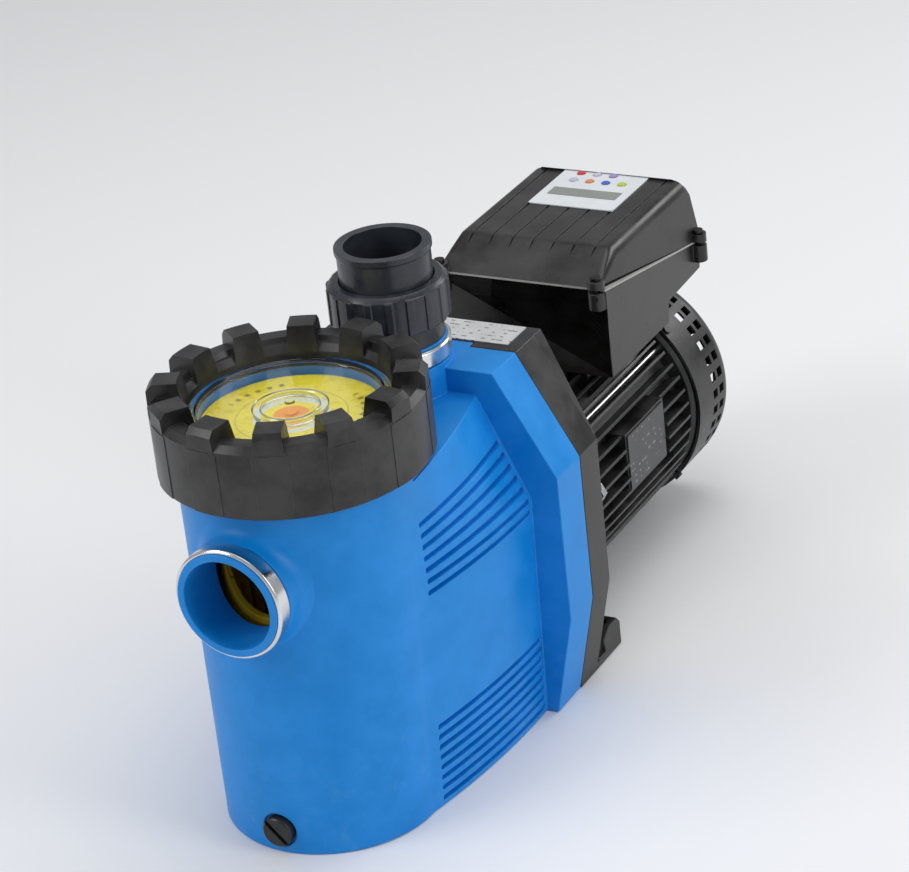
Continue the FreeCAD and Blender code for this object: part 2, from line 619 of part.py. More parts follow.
def make_motor():
    axis = (size.shaftAxis, ALONG_PUMP)
    front = new_body("front_end_shield", 0, size.motorFront, *axis)
    turned(front, [(17.6, 0.05), (84, 0.05), (84, 8), (72, 15), (size.frameBore - 0.1, 15),
                   (size.frameBore - 0.1, 21),
                   (54, 21), (54, 8), (24, 8), (24, 19), (17.6, 19)])
    frame = new_body("motor_frame", 0, 0, *axis)
    tube(frame, size.frameBore, size.frameRadius, size.frameFront + 0.05, size.frameRear)
    fin = outline(new_sketch(frame, "XY", size.frameFront + 6), block(size.frameBore + 2, size.finRadius,
            -size.finThick / 2, size.finThick / 2))
    fin_pad = feature(frame, "Pad", fin, Length=size.frameRear - size.frameFront - 14)
    fin_ring = patterned(frame, [fin_pad], size.finCount)
    # the local Y axis points down, so the drive box's seat is at negative local Y
    trim = outline(new_sketch(frame, "XY", size.boxFront - 4), block(-48, 48, -90, -68.5))
    feature(frame, "Pocket", trim, Length=120, Reversed=True)
    seat = outline(new_sketch(frame, "XY", size.boxFront + 6), block(-44, 44, -69, -50))
    feature(frame, "Pad", seat, Length=86)
    plate = outline(new_sketch(frame, "XY", 291), block(58, 76.4, -32, 14))
    feature(frame, "Pad", plate, Length=62)
    window = outline(new_sketch(frame, "XY", 291), block(76.4, 90, -32, 14))
    feature(frame, "Pocket", window, Length=62, Reversed=True)
    tube_cut = [(0, 200), (size.frameBore, 200), (size.frameBore, 420), (0, 420)]
    turned(frame, tube_cut, cut=True)
    label = new_body("motor_nameplate", 76.6, 293, size.shaftAxis + 9, UPRIGHT)
    sheet_pad = outline(new_sketch(label, "YZ"), block(0, 58, -21, 21))
    feature(label, "Pad", sheet_pad, Length=0.8)
    stator = new_body("stator_core", 0, 0, *axis)
    tube(stator, 36, size.frameBore - 0.05, 246, 352)
    windings = new_body("stator_windings", 0, 0, *axis)
    for low, high in ((224, 245.9), (352.1, 374)):
        turned(windings, [(39, low + 2), (41, low), (54, low), (56, low + 2), (56, high), (39, high)])
    rotor = new_body("rotor_core", 0, 0, *axis)
    tube(rotor, size.shaftCore + 0.02, 35.5, 246, 352)
    for name, low in (("front_bearing", 202), ("rear_bearing", 384)):
        bearing = new_body(name, 0, 0, *axis)
        turned(bearing, [(size.shaftSeat, low), (11, low), (11, low + 0.6), (15, low + 0.6), (15, low),
                         (17.5, low), (17.5, low + 12),
                         (15, low + 12), (15, low + 11.4), (11, low + 11.4),
                         (11, low + 12), (size.shaftSeat, low + 12)])
    rear = new_body("rear_end_shield", 0, 0, *axis)
    turned(rear, [(17.55, 382), (24, 382), (24, 396), (50, 396), (50, 392), (size.frameBore - 0.1, 392),
                  (size.frameBore - 0.1, 398.05),
                  (76, 398.05), (79, 401), (79, 408), (12, 408), (12, 398), (17.55, 398)])
    rods = new_body("tie_rods", 0, 0, *axis)
    for turn in range(4):
        angle = math.radians(48.75 + 90 * turn)
        rod = circle(new_sketch(rods, "XY", 205), 2.2, 71.5 * math.cos(angle), 71.5 * math.sin(angle))
        feature(rods, "Pad", rod, Length=207)
    fan = new_body("cooling_fan", 0, 0, *axis)
    turned(fan, [(size.shaftFront + 0.02, 411), (14, 411), (14, 416), (30, 420), (30, 422), (12, 432),
                 (size.shaftFront + 0.02, 432)])
    blade = outline(new_sketch(fan, "YZ"), [(12, 414), (68, 414), (70, 418), (70, 436), (12, 430)])
    blade_pad = feature(fan, "Pad", blade, Length=2, Midplane=True)
    patterned(fan, [blade_pad], 9)


def make_fan_cover():
    body = new_body("fan_cover", 0, 0, size.shaftAxis, ALONG_PUMP)
    outer, wall, rear = size.fanCoverRadius, size.coverWall, size.fanRear
    bend = 13
    turned(body, [(outer - wall, 400), (outer, 400), (outer, rear - bend, bend), (outer - bend, rear),
                  (0, rear),
                  (0, rear - wall), (outer - bend, rear - wall, -(bend - wall)),
                  (outer - wall, rear - bend)])
    cuts = []
    for level in (428, 438.5):
        hole = outline(new_sketch(body, "YZ", outer - 8), block(-3.4, 3.4, level - 3.6, level + 3.6))
        cuts.append(feature(body, "Pocket", hole, Length=12, Reversed=True))
    patterned(body, cuts, 40)
    rear_cuts = []
    for inner, outwards, half in ((18, 27, 2.3), (31, 41, 4.1), (45, 55, 6.2), (59, 68, 8.4)):
        hole = outline(new_sketch(body, "XY", rear + 1), block(inner, outwards, -half, half))
        rear_cuts.append(feature(body, "Pocket", hole, Length=20))
    patterned(body, rear_cuts, 16)
    return body


def make_fan_cover_screws():
    outer = size.fanCoverRadius
    diagonal = ALONG_PUMP.multiply(Rotation(Vector(0, 0, 1), 45))
    body = new_body("fan_cover_screws", 0, 0, size.shaftAxis, diagonal)
    head = circle(new_sketch(body, "YZ", outer + 0.03), 3.2, 0, 404.5)
    head_pad = feature(body, "Pad", head, Length=1.8)
    shank = circle(new_sketch(body, "YZ", outer + 0.03), 1.6, 0, 404.5)
    shank_pad = feature(body, "Pad", shank, Length=8, Reversed=True)
    patterned(body, [head_pad, shank_pad], 4)


def make_motor_bolts():
    body = new_body("motor_bolts", 0, size.motorFront, size.shaftAxis,
                    ALONG_PUMP.multiply(Rotation(Vector(0, 0, 1), 45)))
    shank = circle(new_sketch(body, "XY", -5), 2.45, 78, 0)
    shank_pad = feature(body, "Pad", shank, Length=13.1)
    head = outline(new_sketch(body, "XY", 8.1), hexagon(78, 0, 4.5 * math.sqrt(3)))
    head_pad = feature(body, "Pad", head, Length=4)
    patterned(body, [shank_pad, head_pad], 4)


# --- drive box on top of the motor ----------------------------------------------------------

EARS = [(side * x, y) for side in (-1, 1) for x, y in ((60, 299.5), (68, 448))]
KEYS = [(-18.3 + size.keyPitch * step, size.keyRowBack) for step in range(3)]
KEYS += [(-18.3 + size.keyPitch * step, size.keyRowFront) for step in range(4)]


def seam_at(y):
    """Height of the sloping joint between the box's base and cover at a place along the pump."""
    share = (y - size.boxFront) / (size.boxRear - size.boxFront)
    return size.seamFront + (size.seamRear - size.seamFront) * share


def slab(body, corners, half, kind="Pad"):
    """A side outline widened evenly to both sides of the pump's middle plane."""
    sketch = outline(new_sketch(body, "YZ"), corners)
    return feature(body, kind, sketch, Length=2 * half, Midplane=True)


def make_drive_box():
    front, rear, wall, half = size.boxFront, size.boxRear, size.boxWall, size.boxHalf
    top = size.boxTop
    base = new_body("drive_base")
    slab(base, [(front, size.seamFront), (front + 1.5, 160.2), (395.5, 160.2), (397.5, 175.6),
                (rear - 3, 178), (rear, size.seamRear)], half)
    slab(base, [(front + wall, size.seamFront + 9), (front + wall + 1.5, 163), (393, 163), (395.3, 178.4),
                (rear - wall - 3, 181), (rear - wall, size.seamRear + 9)], half - wall, "Pocket")
    lead_way = outline(new_sketch(base, "XY", 150), block(-14, 14, 340, 370))
    feature(base, "Pocket", lead_way, Length=20, Reversed=True)
    for x, y in EARS:
        ear = circle(new_sketch(base, "XY", seam_at(y) - 0.4), 6, x, y)
        feature(base, "Pad", ear, Length=13, Reversed=True)
    seam_trim = outline(new_sketch(base, "YZ"), [(280, seam_at(280)), (470, seam_at(470)), (470, 260),
                                                 (280, 260)])
    feature(base, "Pocket", seam_trim, Length=200, Midplane=True)
    gland_holes = new_sketch(base, "YZ", -80)
    for y in (340, 372):
        circle(gland_holes, 8, y, 190)
    feature(base, "Pocket", gland_holes, Length=20, Reversed=True)

    gasket = new_body("cover_gasket")
    lift = 0.02
    slab(gasket, [(front - 0.4, seam_at(front - 0.4) + lift), (rear + 0.4, seam_at(rear + 0.4) + lift),
                  (rear + 0.4, seam_at(rear + 0.4) + 1.3),
                  (front - 0.4, seam_at(front - 0.4) + 1.3)], half + 0.4)
    inside = outline(new_sketch(gasket, "XY", 260), block(4 - half, half - 4, front + 4, rear - 4))
    feature(gasket, "Pocket", inside, Length=100)

    cover = new_body("drive_cover")
    slab(cover, [(front, seam_at(front) + 1.35), (front + 28, top - 1.5), (front + 32, top),
                 (rear - 6, top), (rear - 2, top - 3), (rear, seam_at(rear) + 1.35)], half)
    for side in (-1, 1):
        taper = outline(new_sketch(cover, "XZ", -300), [(side * half, 205), (side * (half + 8), 205),
                                                        (side * (half + 8), 252), (side * 58.5, 252)])
        feature(cover, "Pocket", taper, Length=400, Midplane=True)
    slab(cover, [(front + wall, seam_at(front) - 3), (front + wall + 2, seam_at(front) + 3),
                 (front + 30, top - wall - 1), (front + 34, top - wall), (rear - 6.6, top - wall),
                 (rear - 2 - wall, top - 5), (rear - wall, seam_at(rear) - 3)], 56, "Pocket")
    for x, y in EARS:
        ear = circle(new_sketch(cover, "XY", seam_at(y) + 8), 6, x, y)
        feature(cover, "Pad", ear, Length=10, Reversed=True)
    ear_trim = outline(new_sketch(cover, "YZ"), [(280, seam_at(280) + 1.35), (470, seam_at(470) + 1.35),
                                                 (470, 150), (280, 150)])
    feature(cover, "Pocket", ear_trim, Length=200, Midplane=True)
    for step in range(7):
        x = -48 + 15.8 * step
        line = outline(new_sketch(cover, "YZ", x), [(front - 4, seam_at(front) + 5),
                                                    (front + 27.4, top - 3.4), (front + 32, top - 1.3),
                                                     (rear, top - 1.3), (rear, top + 5),
                                                     (front - 4, top + 5)])
        feature(cover, "Pocket", line, Length=1.6, Midplane=True)
    key_holes = new_sketch(cover, "XY", top + 3)
    for x, y in KEYS:
        circle(key_holes, size.keyRadius + 0.15, x, y)
    feature(cover, "Pocket", key_holes, Length=8)

    screws = new_body("cover_screws")
    for x, y in EARS:
        shank = circle(new_sketch(screws, "XY", seam_at(y) + 8.05), 1.8, x, y)
        feature(screws, "Pad", shank, Length=15, Reversed=True)
        head = circle(new_sketch(screws, "XY", seam_at(y) + 8.05), 3.8, x, y)
        feature(screws, "Pad", head, Length=2.6)

    board = new_body("circuit_board")
    plate = outline(new_sketch(board, "XY", 186), block(-56, 56, 308, 440))
    feature(board, "Pad", plate, Length=1.6)
    for x, y, wide, deep, tall in ((-30, 330, 18, 18, 28), (-6, 330, 18, 18, 28), (30, 332, 34, 24, 18),
                                   (-20, 380, 50, 30, 14), (34, 390, 22, 40, 20)):
        part = outline(new_sketch(board, "XY", 187), block(x - wide / 2, x + wide / 2, y - deep / 2,
                                                           y + deep / 2))
        feature(board, "Pad", part, Length=tall)
    for x in (-50, 50):
        for y in (314, 434):
            post = circle(new_sketch(board, "XY", 187), 3, x, y)
            feature(board, "Pad", post, Length=4)

    glands = new_body("cable_glands", -half - 0.05, 0, 190, Rotation(Vector(0, 1, 0), -90))
    for y in (340, 372):
        for radius, low, high in ((7.8, -4.5, 0.5), (10, 0, 4), (9, 4, 13), (6.5, 13, 16)):
            step = circle(new_sketch(glands, "XY", low), radius, 0, y)
            feature(glands, "Pad", step, Length=high - low)
        bore = circle(new_sketch(glands, "XY", 20), 4, 0, y)
        feature(glands, "Pocket", bore, Length=30)


KEY_NAMES = ["stop_key", "speed_low_key", "speed_high_key", "menu_key", "back_key", "set_key", "start_key"]


def make_keypad():
    top, level = size.boxTop, size.panelLevel
    panel = new_body("keypad_panel")
    plate = outline(new_sketch(panel, "XY", top + 0.03), block(-size.panelHalf, size.panelHalf,
            size.panelFront, size.panelRear))
    feature(panel, "Pad", plate, Length=level - top)
    holes = new_sketch(panel, "XY", level + 2)
    for x, y in KEYS:
        circle(holes, size.keyRadius + 0.15, x, y)
    feature(panel, "Pocket", holes, Length=6)
    pane_seat = outline(new_sketch(panel, "XY", level + 2), block(-26.6, 26.6, 403.4, 416.6))
    feature(panel, "Pocket", pane_seat, Length=2.6)
    pane = new_body("display_window")
    glass = outline(new_sketch(pane, "XY", level - 0.5), block(-26.5, 26.5, 403.5, 416.5))
    feature(pane, "Pad", glass, Length=0.7)
    for name, (x, y) in zip(KEY_NAMES, KEYS):
        key = new_body(name, x, y, top)
        radius = size.keyRadius
        turned(key, [(0, -4), (3.9, -4), (3.9, -2.95), (radius, -2.95), (radius, 1.5), (radius - 0.4, 1.9),
                     (0, 1.9)])
    label = new_body("bracket_label")
    paper = outline(new_sketch(label, "XY", size.flangeTop + 0.03), block(-61, 61, 167.6, 195))
    feature(label, "Pad", paper, Length=0.5)


# --- union on the discharge socket -----------------------------------------------------------

def make_union():
    at = (0, size.dischargeAxis, 0)
    insert = new_body("union_insert", *at)
    low, high = size.nutBottom, size.dischargeTop
    turned(insert, [(size.portRadius, high - 21.9), (size.threadRadius - 0.05, high - 21.9),
                    (size.threadRadius - 0.05, high + 0.05),
                    (33.5, high + 0.05), (33.5, low + 1), (36.3, low + 2), (36.3, 290), (31.2, 290),
                    (31.2, 287.4), (27.4, 287.4), (27.4, 290),
                    (size.portRadius, 290)])
    seal = new_body("union_seal", *at)
    hoop(seal, 29.3, 2.8, 289.05)
    nut = new_body("union_nut", *at)
    radius = size.nutRadius
    turned(nut, [(36.6, low), (radius - 2, low), (radius - 1, low + 1), (radius - 1, size.nutTop - 3),
                 (radius - 4, size.nutTop),
                 (size.tailRadius + 0.5, size.nutTop), (size.tailRadius + 0.5, 296.1), (36.6, 296.1)])
    rib = outline(new_sketch(nut, "XY", low + 1), block(radius - 2, radius, -2.4, 2.4))
    rib_pad = feature(nut, "Pad", rib, Length=size.nutTop - low - 4)
    patterned(nut, [rib_pad], 18)
    tail = new_body("union_tail", *at)
    turned(tail, [(23, 290.6), (36.2, 290.6), (36.2, 295.8), (size.tailRadius, 295.8),
                  (size.tailRadius, size.tailTop - 5),
                  (size.tailRadius + 1.2, size.tailTop - 4),
                  (size.tailRadius + 1.2, size.tailTop), (size.pipeBore, size.tailTop),
                  (size.pipeBore, size.tailTop - 31), (23, size.tailTop - 31)])


make_housing()
make_bands()
make_basket()
make_lid()
make_lock_ring()
make_drain_plug()
make_impeller()
make_casing_rings()
make_shaft_seal()
make_bracket()
make_flange_bolts()
make_shaft()
make_motor()
make_fan_cover()
make_fan_cover_screws()
make_motor_bolts()
make_drive_box()
make_keypad()
make_union()


def check_and_write():
    """Stop on any failed object, then write one file for each piece."""
    doc.recompute()
    for thing in doc.Objects:
        bad = [word for word in thing.State if word in ("Invalid", "Error")]
        if bad:
            raise RuntimeError(f"{thing.Label} is {bad}")
    for thing in doc.Objects:
        if thing.TypeId in ("PartDesign::Pocket", "PartDesign::Groove"):
            before = thing.BaseFeature.Shape.Volume
            if thing.Shape.Volume > before - 0.01:
                raise RuntimeError(f"{thing.Label} cuts nothing")
    os.makedirs("parts", exist_ok=True)
    for piece in pieces:
        if piece.Shape.isNull() or not piece.Shape.isValid():
            raise RuntimeError(f"{piece.Label} has no valid shape")
        piece.Shape.exportStep(f"parts/{piece.Label}.step")
        box = piece.Shape.BoundBox
        print(f"{piece.Label}: {len(piece.Shape.Solids)} solid(s), {piece.Shape.Volume / 1000:.1f} cm3,",
              [round(v, 1) for v in (box.XMin, box.YMin, box.ZMin, box.XMax, box.YMax, box.ZMax)])


check_and_write()
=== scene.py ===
# %% [markdown]
# # A pool pump, dressed for its portrait
# A pool pump is a strainer pot, a centrifugal pump and an electric motor in one line, with its
# speed controller riding on the motor's back. The CAD model holds every piece at its true size.
# It could all be modelled again here, but then the two models would drift apart, so this lesson
# keeps the CAD shapes, softens the edges that show and gives each piece its finish.

# %% Load the pump
import json
import math
import bmesh
import bpy
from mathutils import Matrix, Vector


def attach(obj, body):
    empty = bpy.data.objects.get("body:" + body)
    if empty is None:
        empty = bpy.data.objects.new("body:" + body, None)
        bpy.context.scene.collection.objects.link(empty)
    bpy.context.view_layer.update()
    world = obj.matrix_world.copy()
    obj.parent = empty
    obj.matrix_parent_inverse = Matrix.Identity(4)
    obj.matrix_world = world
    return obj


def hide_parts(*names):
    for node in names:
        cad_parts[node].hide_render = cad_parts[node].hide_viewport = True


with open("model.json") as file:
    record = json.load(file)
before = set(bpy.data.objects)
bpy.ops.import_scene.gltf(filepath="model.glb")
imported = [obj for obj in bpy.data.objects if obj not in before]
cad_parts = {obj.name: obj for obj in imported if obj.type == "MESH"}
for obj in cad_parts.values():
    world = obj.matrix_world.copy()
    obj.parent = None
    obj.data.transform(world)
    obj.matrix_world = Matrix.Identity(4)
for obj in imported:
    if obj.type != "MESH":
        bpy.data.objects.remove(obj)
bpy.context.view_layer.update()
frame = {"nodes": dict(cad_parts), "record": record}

MM = 0.001
scene = bpy.context.scene

# %% [markdown]
# ## Where each piece belongs
# Every moving piece rides on a body, such as the lid or the rotor, and every piece names the
# finish it takes. The record that comes with the frame says both. Typing them in again would
# work for one pump, but reading them keeps the two in step.

# %% Bodies and finishes by piece
record = frame["record"]
body_of = {node: body for body, nodes in record["behaviour"]["bodies"].items() for node in nodes}
finish_of = {part["node"]: part["material_slot"] for part in record["subparts"]}
print(len(body_of), "pieces on", len(set(body_of.values())), "bodies, in",
      len(set(finish_of.values())), "finishes")

# %% [markdown]
# ## The camera and the room
# The pump is seen from above the suction end, a little from its right, from two metres away with
# a long lens, as a catalogue would show it. A short lens from close by would swell the strainer
# pot. The camera is tipped a few degrees to the left, and its view keeps room over the pump for
# the lid when it is lifted off.

# %% Camera
camera = bpy.data.objects.new("camera", bpy.data.cameras.new("camera"))
scene.collection.objects.link(camera)
scene.camera = camera
stand = Vector((0.9992, -1.6844, 1.1312))
aim = Vector((0.01, -0.005, 0.170))
camera.location = stand
camera.rotation_euler = (aim - stand).to_track_quat("-Z", "Y").to_euler()
tip_degrees = -6.5
camera.rotation_euler.rotate_axis("Z", math.radians(tip_degrees))
camera.data.lens = 130
camera.data.clip_end = 20
print("camera", round((aim - stand).length, 3), "m from the pump")

# %% [markdown]
# ## Soft studio light
# Black plastic shows its shape by what it mirrors, so the room has large soft boxes: one broad
# key over the left shoulder, one overhead, one at the right, and one behind on the right that
# draws the edges of the motor fins. A dim pale room fills the shadows. Small lamps would leave
# hard, spotty glints.

# %% Floor, room and lamps
def soft_box(name, place, target, width, height, power):
    """A rectangular lamp that faces a point."""
    lamp = bpy.data.lights.new(name, "AREA")
    lamp.shape = "RECTANGLE"
    lamp.size, lamp.size_y, lamp.energy = width, height, power
    holder = bpy.data.objects.new(name, lamp)
    scene.collection.objects.link(holder)
    holder.location = place
    holder.rotation_euler = (Vector(target) - Vector(place)).to_track_quat("-Z", "Y").to_euler()
    return holder


soft_box("key_light", (-1.5, -1.7, 1.9), (0, -0.1, 0.1), 1.3, 1.3, 22)
soft_box("top_light", (0.1, 0.3, 2.1), (0, 0, 0.1), 1.6, 1.6, 15)
soft_box("right_light", (2.1, -0.2, 1.1), (0, 0, 0.15), 0.8, 1.3, 13)
soft_box("rear_light", (1.1, 2.0, 1.2), (0, 0.1, 0.2), 1.0, 0.7, 10)
scene.world = bpy.data.worlds.new("room")
scene.world.use_nodes = True
room = scene.world.node_tree.nodes["Background"]
room.inputs["Color"].default_value = (0.93, 0.95, 1.0, 1)
room.inputs["Strength"].default_value = 0.42
scene.view_settings.view_transform = "Standard"

floor_mesh = bpy.data.meshes.new("floor")
reach = 6.0
floor_mesh.from_pydata([(-reach, -reach, 0), (reach, -reach, 0), (reach, reach, 0), (-reach, reach, 0)],
                       [], [(0, 1, 2, 3)])
floor = bpy.data.objects.new("floor", floor_mesh)
scene.collection.objects.link(floor)
floor.location.z = -0.0004
pale = bpy.data.materials.new("pale_floor")
pale.use_nodes = True
pale.node_tree.nodes["Principled BSDF"].inputs["Base Color"].default_value = (0.9, 0.9, 0.9, 1)
pale.node_tree.nodes["Principled BSDF"].inputs["Roughness"].default_value = 0.7
floor_mesh.materials.append(pale)
print("lamps:", [lamp.name for lamp in bpy.data.lights])

# %% [markdown]
# ## A short hand for shader nodes
# A finish is a small network of nodes. Writing out each node and link takes a page per finish,
# so one small class adds a node, fills its inputs with numbers or with other nodes' outputs, and
# hands back what the next step needs.

# %% Node wiring
class Wiring:
    """Adds nodes to one shader tree and joins them."""

    def __init__(self, tree):
        self.tree = tree

    def feed(self, socket, value):
        """Joins an output to a socket, or sets a plain value on it."""
        if isinstance(value, bpy.types.NodeSocket):
            self.tree.links.new(value, socket)
        elif value is not None:
            socket.default_value = value

    def node(self, kind, *values, **settings):
        made = self.tree.nodes.new("ShaderNode" + kind)
        for name, value in settings.items():
            setattr(made, name, value)
        for socket, value in zip(made.inputs, values):
            self.feed(socket, value)
        return made

    def sum(self, operation, *values):
        return self.node("Math", *values, operation=operation).outputs[0]

    def vector(self, operation, *values):
        made = self.node("VectorMath", *values, operation=operation)
        return made.outputs["Value" if operation in ("DOT_PRODUCT", "LENGTH") else "Vector"]

    def place(self):
        """The point on the piece, in metres, which goes with the piece when it moves."""
        return self.node("TexCoord").outputs["Object"]

    def split(self, vector):
        return self.node("SeparateXYZ", vector).outputs

    def noise(self, vector, scale, detail=2.0, roughness=0.5):
        made = self.node("TexNoise", vector)
        for name, value in (("Scale", scale), ("Detail", detail), ("Roughness", roughness)):
            self.feed(made.inputs[name], value)
        return made.outputs[0]

    def spread(self, value, low, high, to_low=0.0, to_high=1.0):
        """Turns low..high smoothly into to_low..to_high."""
        made = self.node("MapRange", value, low, high, to_low, to_high, interpolation_type="SMOOTHSTEP")
        return made.outputs[0]

    def mix(self, factor, first, second):
        made = self.node("Mix", data_type="RGBA")
        for index, value in ((0, factor), (6, first), (7, second)):
            self.feed(made.inputs[index], value)
        return made.outputs[2]

    def group(self, name, **values):
        """Places a shared effect, with this finish's own values, and hands back its outputs."""
        made = self.tree.nodes.new("ShaderNodeGroup")
        made.node_tree = bpy.data.node_groups[name]
        for label, value in values.items():
            self.feed(made.inputs[label], value)
        return made.outputs


def new_effect(name, inputs, outputs):
    """A shader node group with named inputs and outputs."""
    group = bpy.data.node_groups.new(name, "ShaderNodeTree")
    for label, value in inputs.items():
        kind = "NodeSocketVector" if isinstance(value, tuple) else "NodeSocketFloat"
        group.interface.new_socket(label, in_out="INPUT", socket_type=kind).default_value = value
    for label in outputs:
        group.interface.new_socket(label, in_out="OUTPUT", socket_type="NodeSocketFloat")
    print("effect:", name, "takes", list(inputs), "and gives", outputs)
    given = group.nodes.new("NodeGroupInput").outputs
    gives = group.nodes.new("NodeGroupOutput").inputs
    return Wiring(group), given, gives


# %% [markdown]
# ## Moulded grain
# Moulded plastic and cast metal are never quite even: a fine grain comes off the tool's steel,
# and the colour clouds over a few centimetres where the melt flowed. An image could carry this,
# but noise made from the piece's own coordinates has no seams and stays at its real scale.

# %% Effect: grain
wiring, given, gives = new_effect("moulded grain", {"Grain mm": 0.6, "Patch mm": 35.0},
                                  ["Height", "Patches"])
point = wiring.place()
fine = wiring.noise(point, wiring.sum("DIVIDE", 1000.0, given["Grain mm"]), 2.0, 0.6)
waves = wiring.noise(point, wiring.sum("DIVIDE", 220.0, given["Grain mm"]), 1.0, 0.5)
cloud = wiring.noise(point, wiring.sum("DIVIDE", 1000.0, given["Patch mm"]), 6.0, 0.62)
wiring.feed(gives["Height"], wiring.sum("ADD", wiring.sum("MULTIPLY", fine, 0.6), waves))
wiring.feed(gives["Patches"], wiring.spread(cloud, 0.32, 0.68))

# %% [markdown]
# ## Rubbed edges, with a painted edge highlight
# Handling polishes and pales the corners of plastic first, and the paler colour on the corners is also
# a painted highlight where light catches them. The Bevel node looks a little way round each corner:
# where its rounded normal leaves the true one, there is an edge. The mesh's pointiness could find
# edges too, but it depends on how finely the mesh is cut.

# %% Effect: edges
wiring, given, gives = new_effect("rubbed edges and painted highlight", {"Reach mm": 0.9, "Breakup mm": 7.0}, ["Mask"])
rounded = wiring.node("Bevel", wiring.sum("MULTIPLY", given["Reach mm"], MM), samples=4).outputs[0]
facing = wiring.vector("DOT_PRODUCT", rounded, wiring.node("NewGeometry").outputs["Normal"])
edge = wiring.spread(wiring.sum("SUBTRACT", 1.0, facing), 0.01, 0.12)
breaks = wiring.noise(wiring.place(), wiring.sum("DIVIDE", 1000.0, given["Breakup mm"]), 4.0, 0.6)
wiring.feed(gives["Mask"], wiring.sum("MULTIPLY", edge, wiring.spread(breaks, 0.35, 0.62)))

# %% [markdown]
# ## Turned lines
# A lathe or a polishing wheel leaves fine rings round the axis of a piece. Noise that knows only
# the distance from the axis and the height along it gives exactly such rings, on a band, a
# shaft or a bolt, wherever its axis points.

# %% Effect: turned lines
wiring, given, gives = new_effect("turned lines", {"Centre": (0.0, 0.0, 0.0), "Axis": (0.0, 0.0, 1.0),
                                                   "Pitch mm": 0.5}, ["Height"])
arm = wiring.vector("SUBTRACT", wiring.place(), given["Centre"])
along = wiring.vector("DOT_PRODUCT", arm, given["Axis"])
across = wiring.vector("LENGTH", wiring.vector("CROSS_PRODUCT", arm, given["Axis"]))
rings = wiring.node("CombineXYZ", across, along).outputs[0]
per_metre = wiring.sum("DIVIDE", 1000.0, given["Pitch mm"])
wiring.feed(gives["Height"], wiring.noise(rings, per_metre, 3.0, 0.7))

# %% [markdown]
# ## Settled dust
# Dust lies where a surface looks up and thins out towards its upright sides, in patches. The
# surface's own normal says how far it looks up.

# %% Effect: dust
wiring, given, gives = new_effect("settled dust", {"Patch mm": 25.0, "Cover": 0.5}, ["Mask"])
up = wiring.split(wiring.node("NewGeometry").outputs["Normal"])[2]
spots = wiring.noise(wiring.place(), wiring.sum("DIVIDE", 1000.0, given["Patch mm"]), 7.0, 0.68)
bare = wiring.sum("SUBTRACT", 0.95, wiring.sum("MULTIPLY", given["Cover"], 0.6))
wiring.feed(gives["Mask"], wiring.sum("MULTIPLY", wiring.spread(up, 0.25, 0.95),
                                      wiring.spread(spots, wiring.sum("SUBTRACT", bare, 0.25), bare)))

# %% [markdown]
# ## One recipe for moulded and painted surfaces
# Most of the pump is moulded plastic or satin paint, and these differ in numbers only: colour,
# shine, grain, how much the corners are rubbed and paled, which is partly wear and partly a painted
# highlight, and how much dust lies on top. So one function builds them all from the shared
# effects. Values that are the same all over the piece go straight onto the shader's sockets.

# %% Recipe: moulded surface
def shade(colour, share):
    """A lighter colour for a positive share, a darker one for a negative share."""
    if share < 0:
        return tuple(c * (1 + share) for c in colour) + (1,)
    return tuple(c + (1 - c) * share for c in colour) + (1,)


def moulded(name, colour, rough, tint=0.12, grain=0.6, depth=0.012, patch=35.0, reach=0.9, wear=0.10,
            dust=0.0, cover=0.4, **sockets):
    """A moulded or painted finish."""
    material = bpy.data.materials.new(name)
    material.use_nodes = True
    wiring = Wiring(material.node_tree)
    shader = material.node_tree.nodes["Principled BSDF"]
    for label, value in sockets.items():
        shader.inputs[label.replace("_", " ")].default_value = value
    surface = wiring.group("moulded grain", **{"Grain mm": grain, "Patch mm": patch})
    base = wiring.mix(surface["Patches"], shade(colour, -tint), shade(colour, tint * 0.12))
    roughness = wiring.spread(surface["Patches"], 0.0, 1.0, rough - 0.05, rough + 0.05)
    # Paler corners: partly rubbed wear, partly a painted highlight where the edges catch the light.
    if wear:
        edges = wiring.group("rubbed edges and painted highlight", **{"Reach mm": reach})["Mask"]
        worn_and_highlighted = wiring.sum("MULTIPLY", edges, wear)
        base = wiring.mix(worn_and_highlighted, base, shade(colour, 0.45))
        roughness = wiring.sum("SUBTRACT", roughness, wiring.sum("MULTIPLY", worn_and_highlighted, 0.3))
    if dust:
        lying = wiring.group("settled dust", **{"Cover": cover})["Mask"]
        lying = wiring.sum("MULTIPLY", lying, dust)
        base = wiring.mix(lying, base, (0.46, 0.44, 0.41, 1))
        roughness = wiring.sum("ADD", roughness, wiring.sum("MULTIPLY", lying, 0.4))
    bump = wiring.node("Bump")
    bump.inputs["Strength"].default_value = 1.0
    bump.inputs["Distance"].default_value = depth * MM
    wiring.feed(bump.inputs["Height"], surface["Height"])
    for label, value in (("Base Color", base), ("Roughness", roughness), ("Normal", bump.outputs[0])):
        wiring.feed(shader.inputs[label], value)
    return material


def overlay(material, mask, colour):
    """Lays a colour over a finish where the mask is 1."""
    wiring = Wiring(material.node_tree)
    socket = material.node_tree.nodes["Principled BSDF"].inputs["Base Color"]
    wiring.feed(socket, wiring.mix(mask, socket.links[0].from_socket, (*colour, 1)))


finishes = {}
print("recipe ready for", sorted(set(finish_of.values()))[:4], "and more")

# %% [markdown]
# ## The blue casing
# The strainer pot and the casing round the impeller are one moulding of glass-filled plastic in
# a strong cobalt blue. Its skin is satin, clouds a little, and shows pale scuffs low down where
# water and grit splash. A second layer of noise, limited by height, adds those scuffs.

